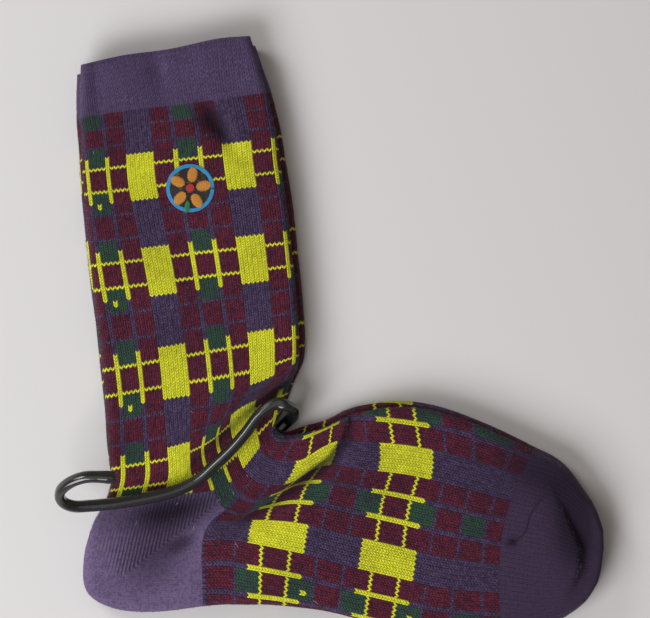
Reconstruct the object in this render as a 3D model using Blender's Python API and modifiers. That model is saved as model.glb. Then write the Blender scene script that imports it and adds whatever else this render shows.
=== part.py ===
"""Pair of crew socks held on a moulded shop hook, lying flat.

Frame: metres, +Z up off the table, +X towards the toes, +Y towards the cuffs.
The origin is on the table under the middle of the whole thing.
"""
import bmesh
import bpy
from math import cos, hypot, pi, radians, sin
from mathutils import Vector

for old in list(bpy.data.objects):
    bpy.data.objects.remove(old, do_unlink=True)

# ---- driving sizes, metres -------------------------------------------------
foot_length = 0.234        # heel to toe tip, sock lying flat
leg_height = 0.250         # sole under the heel to the cuff edge
sock_thick = 0.0080        # upper sock lying flat, both walls and the air between
fabric = 0.0011            # one knitted wall
pinch_air = 0.00085        # air inside the lower sock where it rides over the rear arm
layer_gap = 0.00035        # air between the two socks
zone_gap = 0.0003          # air between pieces that are knitted together
bar_wide = 0.0050          # hook bar, across its broad side
bar_high = 0.0040          # hook bar, across its narrow side
bar_round = 0.0011         # corner radius of the hook bar
arm_clear = 0.00035        # air between hook and fabric
lift_spare = 0.0004        # extra height of the fabric tunnel over the rear arm
rear_reach = 0.045         # rear arm under the socks
loop_rise = 0.017          # upper arm of the display loop above the lower arm
table_clear = 0.0002       # rear arm off the table
motif_radius = 0.0110      # embroidered patch
thread_high = 0.00045      # one layer of embroidery
seam_wide = 0.0011         # linked toe seam
pull_angle = radians(45)   # direction in which the hook leaves the crease

# ---- sizes that follow from them -------------------------------------------
wide = foot_length / 234.0     # one table unit across
tall = leg_height / 250.0      # one table unit up
origin_x = 0.000904            # middle of the whole thing, from the middle of the table
pull = Vector((cos(pull_angle), sin(pull_angle), 0.0))
aside = Vector((sin(pull_angle), -cos(pull_angle), 0.0))
rear_z = table_clear + bar_high / 2
lift_high = rear_z + bar_high / 2 + arm_clear + lift_spare
split_low = lift_high + 2 * fabric + pinch_air
split_high = split_low + layer_gap
pair_top = split_high + sock_thick
keep_out = bar_wide * 1.15     # fabric stays this far from the middle of the crook
loop_lean = radians(50)        # display loop plane against the table
arm_half = bar_wide / 2 * cos(loop_lean) + bar_high / 2 * sin(loop_lean)
arm_z = pair_top + arm_clear + arm_half

# Stations of a flat sock from cuff to toe: back edge x, y, front edge x, y,
# then how far the lower sock stands out at the back and at the front.
stations = [
    (-112, 124, -34, 134, 2, 1),
    (-112, 112, -30, 121, 2, 2),
    (-112, 98, -27, 108, 2, 2),
    (-112, 82, -23, 92, 2, 3),
    (-110, 62, -21, 71, 2, 3),
    (-107, 39, -18, 49, 1, 3),
    (-103, 13, -15, 25, 1, 2),
    (-100, -14, -13, 3, 1, 2),
    (-99, -38, -13, -18, 1, 1),
    (-98, -60, -16, -29, 1, 0),
    (-101, -74, -20, -34, 1, 0),
    (-107, -87, -23, -39, 1, 0),
    (-110, -101, -23, -43, 1, 0),
    (-107, -115, -20, -45, 1, 0),
    (-95, -123, -15, -46, 1, 0),
    (-76, -124, -10, -44, 0, 0),
    (-55, -121, -3, -42, 0, 1),
    (-34, -120, 4, -38, 0, 2),
    (-12, -122, 12, -34, 0, 2),
    (10, -127, 26, -32, 0, 2),
    (33, -131, 42, -34, 0, 2),
    (55, -134, 62, -39, 0, 2),
    (78, -134, 84, -47, 0, 1),
    (96, -131, 100, -55, 0, 1),
    (109, -125, 113, -66, 0, 0),
    (117, -116, 121, -77, 0, 0),
]
flat_steps = 11
arc_steps = 4

# ---- materials --------------------------------------------------------------


def make_material(name, colour, roughness, metallic=0.0):
    material = bpy.data.materials.new(name)
    material.use_nodes = True
    shader = material.node_tree.nodes["Principled BSDF"]
    shader.inputs["Base Color"].default_value = (*colour, 1.0)
    shader.inputs["Roughness"].default_value = roughness
    shader.inputs["Metallic"].default_value = metallic
    return material


# ---- collections -------------------------------------------------------------
scene = bpy.context.scene
part_group = bpy.data.collections.new("sock_pair_on_hook")
scene.collection.children.link(part_group)
cutter_group = bpy.data.collections.new("cutters")
scene.collection.children.link(cutter_group)


def keep_mesh(name, form, group, material=None):
    mesh = bpy.data.meshes.new(name)
    bmesh.ops.recalc_face_normals(form, faces=form.faces)
    form.to_mesh(mesh)
    form.free()
    for face in mesh.polygons:
        face.use_smooth = True
    if material:
        mesh.materials.append(material)
    item = bpy.data.objects.new(name, mesh)
    group.objects.link(item)
    return item


# ---- plan outlines -------------------------------------------------------------


def plan(x, y):
    return Vector((x * wide - origin_x, y * tall, 0.0))


crease = plan(-23, -41)
crook = crease + pull * (bar_wide * 0.5 + 0.0080)


def grow(points, amount):
    """Move the sides of a closed outline outwards (or inwards when negative)."""
    area = 0.0
    count = len(points)
    for i in range(count):
        a = points[i]
        b = points[(i + 1) % count]
        area += a.x * b.y - b.x * a.y
    turn = 1.0 if area > 0 else -1.0
    moved = []
    for i in range(count):
        a = points[i - 1]
        b = points[i]
        c = points[(i + 1) % count]
        before = (b - a).normalized()
        after = (c - b).normalized()
        out_before = Vector((before.y, -before.x, 0.0)) * turn
        out_after = Vector((after.y, -after.x, 0.0)) * turn
        both = out_before + out_after
        moved.append(b + both * (amount * 2.0 / both.length_squared))
    return moved


def prism(name, points, low, high, group, material=None):
    form = bmesh.new()
    ring = [form.verts.new((p.x, p.y, low)) for p in points]
    face = form.faces.new(ring)
    grown = bmesh.ops.extrude_face_region(form, geom=[face])
    for item in grown["geom"]:
        if isinstance(item, bmesh.types.BMVert):
            item.co.z = high
    item = keep_mesh(name, form, group, material)
    return item


def make_cutter(name, points, low=-0.01, high=0.03):
    cutter = prism(name, points, low, high, cutter_group)
    cutter.hide_render = True
    cutter.display_type = 'WIRE'
    return cutter


# ---- heights of the fabric --------------------------------------------------------


def ease(value):
    value = min(1.0, max(0.0, value))
    return value * value * (3.0 - 2.0 * value)


def underside(point):
    """The lower sock stands off the table where the rear arm runs below it."""
    away = point - crease
    along = min(rear_reach, max(0.0, -away.dot(pull)))
    reach = (away + pull * along).length
    return lift_high * (1.0 - ease((reach - 0.010) / 0.024))


def sock_rings(lower):
    rings = []
    for back_x, back_y, front_x, front_y, back_out, front_out in stations:
        back = plan(back_x, back_y)
        front = plan(front_x, front_y)
        across = (front - back).normalized()
        if lower:
            back = back - across * back_out * wide
            front = front + across * front_out * wide
        off = front - crook
        if off.length < keep_out:
            front = crook + off.normalized() * keep_out
            across = (front - back).normalized()
        rings.append((back, front, across))
    if lower:
        drop = (rings[1][0] - rings[0][0]) * 0.35
        rings[0] = (rings[0][0] + drop, rings[0][1] + drop, rings[0][2])
    return rings


def ring_points(back, front, across, lower, shift, squeeze):
    """One closed section of the flattened tube, underside first."""
    def level(point):
        low = underside(point) if lower else split_high
        high = split_low if lower else pair_top
        middle = (low + high) / 2
        half = (high - low) / 2 * squeeze
        return middle - half, middle + half
    low_b, high_b = level(back)
    low_f, high_f = level(front)
    back_r = (high_b - low_b) / 2
    front_r = (high_f - low_f) / 2
    start = back + across * back_r
    finish = front - across * front_r
    under = []
    over = []
    for i in range(flat_steps + 1):
        point = start.lerp(finish, i / flat_steps)
        low, high = level(point)
        under.append(point + shift + Vector((0, 0, low)))
        over.append(point + shift + Vector((0, 0, high)))
    front_arc = []
    back_arc = []
    for i in range(1, arc_steps):
        angle = -pi / 2 + pi * i / arc_steps
        mid_f = (low_f + high_f) / 2
        out_f = across * (front_r * cos(angle))
        front_arc.append(finish + shift + out_f + Vector((0, 0, mid_f + front_r * sin(angle))))
        mid_b = (low_b + high_b) / 2
        out_b = across * (back_r * cos(angle))
        back_arc.append(start + shift - out_b + Vector((0, 0, mid_b + back_r * sin(angle))))
    return under + front_arc + over[::-1] + back_arc[::-1]


def sock_skin(name, lower, material):
    """Open flattened tube, closed at the toe, with the fabric as its thickness."""
    rings = sock_rings(lower)
    sections = []
    for back, front, across in rings:
        sections.append(ring_points(back, front, across, lower, Vector((0, 0, 0)), 1.0))
    back, front, across = rings[-1]
    ahead = Vector((-across.y, across.x, 0.0))
    if ahead.x < 0:
        ahead = -ahead
    radius = sock_thick / 2
    for angle in (radians(28), radians(54), radians(76)):
        inset = across * (radius * 2.2 * (1 - cos(angle)))
        shift = ahead * (radius * sin(angle))
        sections.append(ring_points(back + inset, front - inset, across, lower, shift, cos(angle)))
    form = bmesh.new()
    grid = []
    for section in sections:
        grid.append([form.verts.new(point) for point in section])
    count = len(grid[0])
    for row, following in zip(grid, grid[1:]):
        for i in range(count):
            j = (i + 1) % count
            form.faces.new((row[i], row[j], following[j], following[i]))
    form.faces.new(grid[-1])
    item = keep_mesh(name, form, part_group, material)
    wall = item.modifiers.new("wall", 'SOLIDIFY')
    wall.thickness = fabric
    wall.offset = -1.0
    wall.use_even_offset = True
    return item


def cut(item, cutter, operation):
    change = item.modifiers.new(cutter.name, 'BOOLEAN')
    change.operation = operation
    change.solver = 'EXACT'
    change.object = cutter


# ---- where one knitted zone ends and the next begins --------------------------------
cuff_line = [plan(-150, 97), plan(-111, 98), plan(-28, 108), plan(20, 113)]
heel_top = [plan(-150, -76), plan(-100, -75), plan(-51, -70)]
heel_side = [plan(-51, -70), plan(-55, -80), plan(-56, -100), plan(-55, -145)]
ankle_line = [plan(-51, -70), crease, crease + pull * 0.04]
toe_line = [plan(98, -30), plan(92, -52), plan(84, -68), plan(78, -77), plan(76, -91),
            plan(76, -102), plan(78, -116), plan(82, -150)]
seam_line = [plan(83, -92), plan(91, -81), plan(101, -65), plan(105, -57), plan(114, -38)]

corner = heel_top[-1]
zones = {
    "cuff": cuff_line + [plan(20, 160), plan(-150, 160)],
    "leg": heel_top[:2] + ankle_line + [plan(24, 20)] + cuff_line[::-1],
    "heel": heel_top + heel_side[1:] + [plan(-150, -145)],
    "foot": (ankle_line[::-1] + heel_side[1:] + toe_line[::-1]
             + [plan(30, 10)]),
    "toe": toe_line + [plan(150, -150), plan(150, -30)],
}


def band(line, width):
    """Closed outline of a strip that follows a line."""
    left = []
    right = []
    for i, point in enumerate(line):
        before = line[max(0, i - 1)]
        after = line[min(len(line) - 1, i + 1)]
        along = (after - before).normalized()
        side = Vector((-along.y, along.x, 0.0)) * width / 2
        left.append(point + side)
        right.append(point - side)
    return left + right[::-1]


# ---- embroidered motif ---------------------------------------------------------------
motif_place = plan(-62, 67)
motif_turn = radians(-9)


def circle(centre, radius, count=32):
    spots = []
    for i in range(count):
        angle = 2 * pi * i / count
        spots.append(centre + Vector((radius * cos(angle), radius * sin(angle), 0.0)))
    return spots


def petal(number):
    """Egg-shaped stitch field, one fifth of the flower."""
    aim = motif_turn + pi / 2 + 2 * pi * number / 5
    ahead = Vector((cos(aim), sin(aim), 0.0))
    side = Vector((-sin(aim), cos(aim), 0.0))
    near = motif_radius * 0.27
    far = motif_radius * 0.84
    spots = []
    for i in range(16):
        angle = 2 * pi * i / 16
        along = (near + far) / 2 - (far - near) / 2 * cos(angle)
        half = motif_radius * 0.235 * sin(angle) * (1.0 - 0.28 * cos(angle))
        spots.append(motif_place + ahead * along + side * half)
    return spots


def leaf():
    aim = motif_turn + pi / 2 + 2 * pi * 2.5 / 5
    ahead = Vector((cos(aim), sin(aim), 0.0))
    side = Vector((-sin(aim), cos(aim), 0.0))
    spots = []
    for i in range(12):
        angle = 2 * pi * i / 12
        along = motif_radius * (0.77 - 0.14 * cos(angle))
        half = motif_radius * 0.085 * sin(angle)
        spots.append(motif_place + ahead * along + side * half)
    return spots


purple = (0.085, 0.060, 0.125)
maroon = (0.145, 0.030, 0.055)


def build_sock(side, lower):
    looks = {
        "cuff": ((0.075, 0.055, 0.115), 0.92),
        "leg": (maroon, 0.90),
        "heel": ((0.110, 0.080, 0.150), 0.88),
        "foot": ((0.130, 0.028, 0.050), 0.90),
        "toe": ((0.055, 0.038, 0.075), 0.90),
    }
    pieces = []
    for zone, outline in zones.items():
        colour, roughness = looks[zone]
        material = make_material(side + "_" + zone + "_knit", colour, roughness)
        item = sock_skin(side + "_" + zone, lower, material)
        cutter = make_cutter("cut_" + side + "_" + zone, grow(outline, -zone_gap / 2))
        cut(item, cutter, 'INTERSECT')
        pieces.append(item)
        if zone == "leg":
            hole = circle(motif_place, motif_radius + zone_gap)
            low = -0.01 if lower else pair_top - fabric * 2
            high = fabric * 2 if lower else pair_top + 0.01
            cut(item, make_cutter("cut_" + side + "_patch", hole, low, high), 'DIFFERENCE')
        if zone == "toe":
            slot = band(seam_line, seam_wide + 2 * zone_gap)
            cut(item, make_cutter("cut_" + side + "_seam", slot), 'DIFFERENCE')
    seam_look = make_material(side + "_seam_thread", (0.045, 0.030, 0.060), 0.85)
    seam = sock_skin(side + "_toe_seam", lower, seam_look)
    inner = [p.copy() for p in seam_line]
    inner[0] = inner[0] + (inner[1] - inner[0]).normalized() * zone_gap
    cut(seam, make_cutter("cut_" + side + "_seam_band", band(inner, seam_wide)), 'INTERSECT')
    pieces.append(seam)

    # The patch lies in the wall: ground inside, coloured threads outside.
    def layer(step):
        deep = fabric - step * (thread_high + zone_gap / 2)
        if lower:
            return deep - thread_high, deep
        return pair_top - deep, pair_top - deep + thread_high
    ground_look = make_material(side + "_ground_thread", (0.012, 0.014, 0.035), 0.70)
    low, high = layer(0)
    pieces.append(prism(side + "_motif_ground", circle(motif_place, motif_radius),
                        low, high, part_group, ground_look))
    low, high = layer(1)
    warm = ((0.72, 0.36, 0.04), (0.70, 0.30, 0.03), (0.74, 0.40, 0.05),
            (0.68, 0.27, 0.03), (0.72, 0.38, 0.04))
    for i in range(5):
        look = make_material(side + "_petal_thread_" + str(i + 1), warm[i], 0.55)
        pieces.append(prism(side + "_petal_" + str(i + 1), petal(i), low, high, part_group, look))
    centre_look = make_material(side + "_centre_thread", (0.45, 0.03, 0.03), 0.55)
    pieces.append(prism(side + "_motif_centre", circle(motif_place, motif_radius * 0.22, 16),
                        low, high, part_group, centre_look))
    leaf_look = make_material(side + "_leaf_thread", (0.03, 0.20, 0.06), 0.55)
    pieces.append(prism(side + "_motif_leaf", leaf(), low, high, part_group, leaf_look))
    return pieces


# ---- hook -------------------------------------------------------------------------------
# Bar centre, millimetres from the crook: x, y, then height, broad side, and size.
lean_side = Vector((0.0, -sin(loop_lean), cos(loop_lean)))
flat_side = aside
unit = 0.001
high_z = arm_z + loop_rise
path = [
    (-79.3, -29.3, high_z, lean_side, 0.55),
    (-80.2, -29.2, high_z, lean_side, 0.92),
    (-83.0, -29.0, high_z, lean_side, 1.05),
    (-87.0, -28.8, high_z, lean_side, 1.0),
    (-93.0, -29.0, high_z - 0.0003, lean_side, 1.0),
    (-99.0, -31.0, high_z - 0.0026, lean_side, 1.0),
    (-103.6, -34.4, high_z - 0.0066, lean_side, 1.0),
    (-104.8, -37.6, high_z - 0.0105, lean_side, 1.0),
    (-103.2, -40.6, high_z - 0.0140, lean_side, 1.0),
    (-99.0, -42.4, high_z - 0.0162, lean_side, 1.0),
    (-93.0, -42.4, arm_z, lean_side, 1.0),
    (-76.0, -40.6, arm_z, lean_side, 1.0),
    (-56.0, -36.5, arm_z, lean_side, 1.0),
    (-43.5, -31.0, arm_z, lean_side, 1.0),
    (-36.0, -24.6, arm_z, lean_side, 1.0),
    (-28.0, -17.0, arm_z, lean_side, 1.0),
    (-21.5, -9.5, arm_z, lean_side, 1.0),
    (-16.5, -2.8, arm_z, lean_side, 1.0),
    (-11.6, 1.6, arm_z - 0.0001, lean_side.lerp(flat_side, 0.35), 1.0),
    (-7.4, 3.6, arm_z - 0.0001, lean_side.lerp(flat_side, 0.7), 1.0),
    (-3.4, 2.9, arm_z - 0.0003, flat_side, 1.0),
    (-0.2, 1.2, arm_z - 0.0042, flat_side, 1.0),
    (0.2, -0.4, (arm_z + rear_z) / 2, flat_side, 1.0),
    (-0.4, -2.2, rear_z + 0.0044, flat_side, 1.0),
    (-2.2, -4.2, rear_z + 0.0010, flat_side, 1.0),
    (-4.8, -6.8, rear_z, flat_side, 1.0),
]
run_out = Vector((path[-1][0], path[-1][1], 0.0)) * unit
for step, size in ((0.3, 1.0), (0.65, 0.97), (0.93, 0.94), (0.985, 0.85), (1.0, 0.45)):
    spot = run_out - pull * (rear_reach - 0.008) * step
    path.append((spot.x / unit, spot.y / unit, rear_z, flat_side, size))


def bar_profile():
    """Rounded rectangle, broad side first."""
    spots = []
    for quarter in range(4):
        for step in range(3):
            angle = pi / 2 * quarter + pi / 4 * step
            sx = 1 if quarter in (0, 3) else -1
            sy = 1 if quarter in (0, 1) else -1
            x = sx * (bar_wide / 2 - bar_round) + bar_round * cos(angle)
            y = sy * (bar_high / 2 - bar_round) + bar_round * sin(angle)
            spots.append((x, y))
    return spots


def smooth_path(steps):
    """Curve through the stations, with broad side and size carried along."""
    knots = []
    for x, y, z, side, size in path:
        knots.append((crook + Vector((x * unit, y * unit, z)), side, size))
    samples = []
    for i in range(len(knots) - 1):
        p1, s1, k1 = knots[i]
        p2, s2, k2 = knots[i + 1]
        p0 = knots[max(0, i - 1)][0]
        p3 = knots[min(len(knots) - 1, i + 2)][0]
        for step in range(steps):
            t = step / steps
            point = 0.5 * (2 * p1 + (p2 - p0) * t + (2 * p0 - 5 * p1 + 4 * p2 - p3) * t ** 2
                           + (3 * p1 - p0 - 3 * p2 + p3) * t ** 3)
            samples.append((point, s1.lerp(s2, t), k1 + (k2 - k1) * t))
    samples.append(knots[-1])
    return samples


def build_hook():
    samples = smooth_path(2)
    outline = bar_profile()
    form = bmesh.new()
    rings = []
    for i, (point, side, size) in enumerate(samples):
        before = samples[max(0, i - 1)][0]
        after = samples[min(len(samples) - 1, i + 1)][0]
        along = (after - before).normalized()
        broad = (side - along * side.dot(along)).normalized()
        narrow = along.cross(broad)
        ring = []
        for x, y in outline:
            ring.append(form.verts.new(point + broad * (x * size) + narrow * (y * size)))
        rings.append(ring)
    count = len(outline)
    for row, following in zip(rings, rings[1:]):
        for i in range(count):
            j = (i + 1) % count
            form.faces.new((row[i], row[j], following[j], following[i]))
    form.faces.new(rings[0])
    form.faces.new(rings[-1])
    look = make_material("hook_plastic", (0.016, 0.017, 0.020), 0.32)
    return keep_mesh("hook", form, part_group, look)


bottom_pieces = build_sock("bottom", True)
top_pieces = build_sock("top", False)
hook = build_hook()

top_slide = bpy.data.objects.new("top_sock_slide", None)
top_slide.location = (crease.x, crease.y, split_high)
hook_slide = bpy.data.objects.new("hook_slide", None)
hook_slide.location = (crook.x, crook.y, rear_z)
for empty in (top_slide, hook_slide):
    part_group.objects.link(empty)
    empty.empty_display_size = 0.01
bpy.context.view_layer.update()
for item in top_pieces:
    item.parent = top_slide
    item.matrix_parent_inverse = top_slide.matrix_world.inverted()
hook.parent = hook_slide
hook.matrix_parent_inverse = hook_slide.matrix_world.inverted()
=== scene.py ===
from math import cos, pi, radians, sin

import bmesh
import bpy
import numpy as np
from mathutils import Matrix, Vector


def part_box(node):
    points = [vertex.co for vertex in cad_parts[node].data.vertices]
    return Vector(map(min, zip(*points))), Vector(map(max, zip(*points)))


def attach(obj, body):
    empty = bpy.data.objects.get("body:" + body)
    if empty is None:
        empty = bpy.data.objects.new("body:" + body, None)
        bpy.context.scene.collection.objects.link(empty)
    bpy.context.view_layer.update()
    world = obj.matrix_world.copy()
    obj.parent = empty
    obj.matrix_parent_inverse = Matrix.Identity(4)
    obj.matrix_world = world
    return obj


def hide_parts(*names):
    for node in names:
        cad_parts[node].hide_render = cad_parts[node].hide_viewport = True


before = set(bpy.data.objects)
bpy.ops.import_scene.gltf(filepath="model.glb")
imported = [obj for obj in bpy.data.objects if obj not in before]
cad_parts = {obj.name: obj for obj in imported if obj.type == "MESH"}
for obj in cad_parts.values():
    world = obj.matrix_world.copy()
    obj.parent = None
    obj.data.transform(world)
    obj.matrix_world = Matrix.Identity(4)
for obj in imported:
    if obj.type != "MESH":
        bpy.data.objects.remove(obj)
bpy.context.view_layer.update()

# Everything below is in millimetres, +X to the toes and +Y to the cuffs, until makeMesh makes it metres.
millimetre = 0.001
shiftX = -0.904  # middle of the part against the middle that the cage was laid out round
creasePlace = np.array([-23.0 + shiftX, -41.0])  # deepest spot of the fold between leg and foot
hookTurn = pi / 4  # way the hook's arms point in from the crook

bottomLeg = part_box("bottom_leg")
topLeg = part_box("top_leg")
lowerTop = bottomLeg[1][2] / millimetre  # upper face of the lower sock
upperBase = topLeg[0][2] / millimetre
upperTop = topLeg[1][2] / millimetre


# Shader helpers: a wire is one socket, a board is one material.
# A sign between wires and numbers adds a maths node; its swapped form has the wire on the right.
def sign(operation, swapped=False):
    def calcBoth(wire, other):
        return wire.calc(operation, other, wire) if swapped else wire.calc(operation, wire, other)

    return calcBoth


class Wire:
    def __init__(self, board, socket):
        self.board = board
        self.socket = socket

    def calc(self, operation, *values):
        return self.board.node("ShaderNodeMath", {"operation": operation}, dict(enumerate(values)))

    __add__, __radd__ = sign("ADD"), sign("ADD", True)
    __sub__, __rsub__ = sign("SUBTRACT"), sign("SUBTRACT", True)
    __mul__, __rmul__ = sign("MULTIPLY"), sign("MULTIPLY", True)
    __mod__, __pow__ = sign("FLOORED_MODULO"), sign("POWER")
    __lt__, __gt__ = sign("LESS_THAN"), sign("GREATER_THAN")

    def __abs__(self):
        return self.calc("ABSOLUTE", self)

    def floor(self):
        return self.calc("FLOOR", self)

    def fract(self):
        return self.calc("FRACT", self)

    def top(self, other):
        return self.calc("MAXIMUM", self, other)

    def ease(self, low, high):
        return self.board.node("ShaderNodeMapRange", {"interpolation_type": "SMOOTHSTEP"},
                               {0: self, 1: low, 2: high, 3: 0.0, 4: 1.0})


class Board:
    def __init__(self, name, roughness, sheen=0.0, coat=0.0, specular=0.5):
        self.material = bpy.data.materials.new(name)
        self.material.use_nodes = True
        self.tree = self.material.node_tree
        self.shader = self.tree.nodes["Principled BSDF"]
        for socket, value in (("Roughness", roughness), ("Sheen Weight", sheen), ("Sheen Roughness", 0.45),
                              ("Coat Weight", coat), ("Specular IOR Level", specular)):
            self.shader.inputs[socket].default_value = value

    def node(self, kind, settings=None, sockets=None, output=0):
        made = self.tree.nodes.new(kind)
        for key, value in (settings or {}).items():
            setattr(made, key, value)
        for key, value in (sockets or {}).items():
            if isinstance(value, Wire):
                self.tree.links.new(value.socket, made.inputs[key])
            else:
                made.inputs[key].default_value = value
        return Wire(self, made.outputs[output])

    def mix(self, factor, first, second):
        return self.node("ShaderNodeMix", {"data_type": "RGBA"}, {0: factor, 6: first, 7: second}, 2)

    def noise(self, scale, detail=2.0):
        place = self.node("ShaderNodeTexCoord", output=3)
        return self.node("ShaderNodeTexNoise", None, {"Scale": scale, "Detail": detail, "Vector": place})

    def attribute(self, name):
        return self.node("ShaderNodeAttribute", {"attribute_name": name}, None, 2)

    # The two numbers of a uv layer: wale and course, or length and turn along a strand.
    def places(self, layer):
        spot = self.node("ShaderNodeUVMap", {"uv_map": layer})
        split = self.node("ShaderNodeSeparateXYZ", None, {0: spot})
        return split, Wire(self, split.socket.node.outputs[1])

    # A random number between 0 and 1 for each leg of each stitch.
    def perStitch(self, wale, course):
        lean = abs(wale.fract() - 0.5) * knitLook["stitchLean"]
        leg = (wale * 2.0).floor()
        spot = self.node("ShaderNodeCombineXYZ", None, {0: leg, 1: (course + lean).floor()})
        return self.node("ShaderNodeTexWhiteNoise", {"noise_dimensions": "2D"}, {0: spot})

    def feed(self, socket, wire):
        self.tree.links.new(wire.socket, self.shader.inputs[socket])

    def bump(self, height, distance):
        made = self.node("ShaderNodeBump", None, {"Strength": 1.0, "Distance": distance, "Height": height})
        self.feed("Normal", made)


def shade(red, green, blue):
    return (red, green, blue, 1.0)


# Yarns and knitted finishes.
yarns = {
    "purple": shade(0.102, 0.068, 0.158),
    "purpleDark": shade(0.040, 0.026, 0.062),
    "purpleLight": shade(0.190, 0.140, 0.270),
    "maroon": shade(0.172, 0.014, 0.029),
    "maroonDark": shade(0.048, 0.008, 0.017),
    "green": shade(0.026, 0.105, 0.042),
    "greenLight": shade(0.055, 0.190, 0.085),
    "lime": shade(0.850, 0.870, 0.034),
    "limeDark": shade(0.400, 0.410, 0.020),
    "plain": shade(0.140, 0.100, 0.198),
    "toe": shade(0.066, 0.041, 0.088),
    "toeLight": shade(0.150, 0.100, 0.190),
    # colours of painted shade: gap for the gaps between stitches and the folds, ridgeGap for the grooves
    # between heel ridges
    "gap": shade(0.010, 0.006, 0.015),
    "ridgeGap": shade(0.012, 0.008, 0.018),
}
knitLook = {
    "stitchLean": 1.5,      # courses that a stitch's legs rise from its middle to its sides
    "closedMiddle": 0.60,   # how high the yarn closes between a stitch's two legs
    "closedSides": 0.70,    # and between neighbouring stitches
    "weakLeg": 0.26,        # how much lower one of the two legs lies
    "stitchDepth": 0.00062,
    "heelDepth": 0.00050,
    "shadowInGaps": 0.92,
    # strength of the painted shade in folds, dents and towards the toe
    "darkInFolds": 0.90,
    "sheen": 0.05,
    "plainSheen": 0.09,     # cuff, heel and toe are fluffier
    "roughness": 0.90,
    "specular": 0.10,
}


# Height of the two legs of each stitch, 0 in the gaps and 1 on the yarn.
def stitchRelief(wale, course):
    side = abs(wale.fract() - 0.5)
    leg = 1 - abs(side - 0.25) * 4.0
    run = (course + side * knitLook["stitchLean"]).fract()
    along = 1 - abs(run - 0.5) * 2.0
    filled = (1 - side * 3.2).top(0.0) * knitLook["closedMiddle"]
    touching = (1 - abs((course + 0.15).fract() - 0.5) * 2.0).ease(0.35, 0.85)
    filled = filled.top((side * 3.2 - 0.6).top(0.0) * touching * knitLook["closedSides"])
    leaning = 1 - (wale.fract() > 0.5) * knitLook["weakLeg"]
    return (leg.top(0.0) ** 0.55 * leaning).top(filled) * (0.30 + 0.70 * along.ease(0.0, 0.55))


# Yarn colour with painted shade in the gaps and folds, lighter fibres and a slow uneven tone.
def addFuzz(board, relief, colour, light, amount, gapShare=1.0):
    fibres = board.noise(2600.0, 3.0).ease(0.50, 0.72)
    slow = board.noise(38.0, 2.0).ease(0.30, 0.75)
    lively = board.mix(fibres * amount, colour, light)
    gaps = (1 - relief.ease(0.05, 0.60)) * gapShare * knitLook["shadowInGaps"]
    paintedShade = board.attribute("deep") * knitLook["darkInFolds"]
    return board.mix((slow * 0.18 + gaps).top(paintedShade), lively, yarns["gap"])


# Rounded height across each wale.
def waleRidge(wale):
    return (1 - abs(wale.fract() - 0.5) * 2.0).ease(0.10, 0.85)


# The check repeats after so many wales and courses; places count from the middle of a thick stripe.
check = {
    "wales": 20.0,
    "courses": 36.0,
    "stripe": 3.0,           # half a thick stripe
    "line": (7.0, 8.0),      # one-wale line between squares
    "band": 9.0,             # half a band of bright yarn
    "row": (4.0, 5.0),       # one-course line in the band
    "gap": (13.0, 14.0),     # and outside it
    "green": (5.0, 13.0),
    "bright": (-20.0, 198.5),  # courses between which the bright yarn runs, short of cuff and toe
    "jog": (-11.0, 10.0),    # a lone bright stitch where the round closes
}


def between(value, limits):
    return (value > limits[0]) * (value < limits[1])


def startKnit(name, sheen):
    board = Board(name, knitLook["roughness"], sheen, 0.0, knitLook["specular"])
    return board, *board.places("knit")


# Check in four yarns: a thick stripe, then three squares with one-wale lines between them.
def makeJacquard(name):
    board, wale, course = startKnit(name, knitLook["sheen"])
    lean = abs(wale.fract() - 0.5) * knitLook["stitchLean"]
    halfWales, halfCourses = check["wales"] / 2, check["courses"] / 2
    acrossStep = abs((wale.floor() + (0.5 + halfWales)) % check["wales"] - halfWales)
    place = ((course + lean).floor() + (0.5 + halfCourses)) % check["courses"] - halfCourses
    alongStep = abs(place)
    thick = acrossStep < check["stripe"]
    line = between(acrossStep, check["line"])
    middle = acrossStep > check["line"][1]
    square = 1 - thick - middle - line
    hasLime = between(course, check["bright"])
    band = (alongStep < check["band"]) * hasLime
    rowPlace = between(alongStep, check["row"])
    rowLine = rowPlace * hasLime
    gapLine = between(alongStep, check["gap"])
    jog = (abs(wale.floor() - check["jog"][0]) < 0.5) * (abs(place - check["jog"][1]) < 1.1)
    isLime = (band * (thick + line) + rowLine * (square + middle)).top(jog * hasLime)
    isGreen = middle * between(alongStep, check["green"])
    isPurple = (1 - band) * (thick + line) + (gapLine + rowPlace - rowLine) * (square + middle)
    heather = board.noise(900.0, 2.0).ease(0.40, 0.68) * 0.6 + board.perStitch(wale, course) * 0.7
    # Painted shadow: slanting dark dashes between stitch legs, mixed into the heather tone.
    paintedStitchShadow = board.perStitch(wale * 1.20 + course * 0.34, course * 0.62 - wale * 0.20)  # slanting shadows
    heather = heather + (paintedStitchShadow - 0.50).top(0.0) * 1.5
    colour = board.mix(heather * 0.75, yarns["maroon"], yarns["maroonDark"])
    for where, share, yarn, dark in [(isPurple, 0.80, "purple", "purpleDark"),
                                     (isGreen, 0.60, "green", "purpleDark"),
                                     (isLime, 0.45, "lime", "limeDark")]:
        colour = board.mix(where, colour, board.mix(heather * share, yarns[yarn], yarns[dark]))
    light = board.mix(isLime, board.mix(isGreen, yarns["purpleLight"], yarns["greenLight"]), yarns["lime"])
    relief = stitchRelief(wale, course)
    board.feed("Base Color", addFuzz(board, relief, colour, light, 0.42, 1 - isLime * 0.34))
    fluff = board.noise(3200.0, 2.0)
    board.bump(relief + fluff * 0.30 + isLime * 0.12, knitLook["stitchDepth"])
    return board.material


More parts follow.
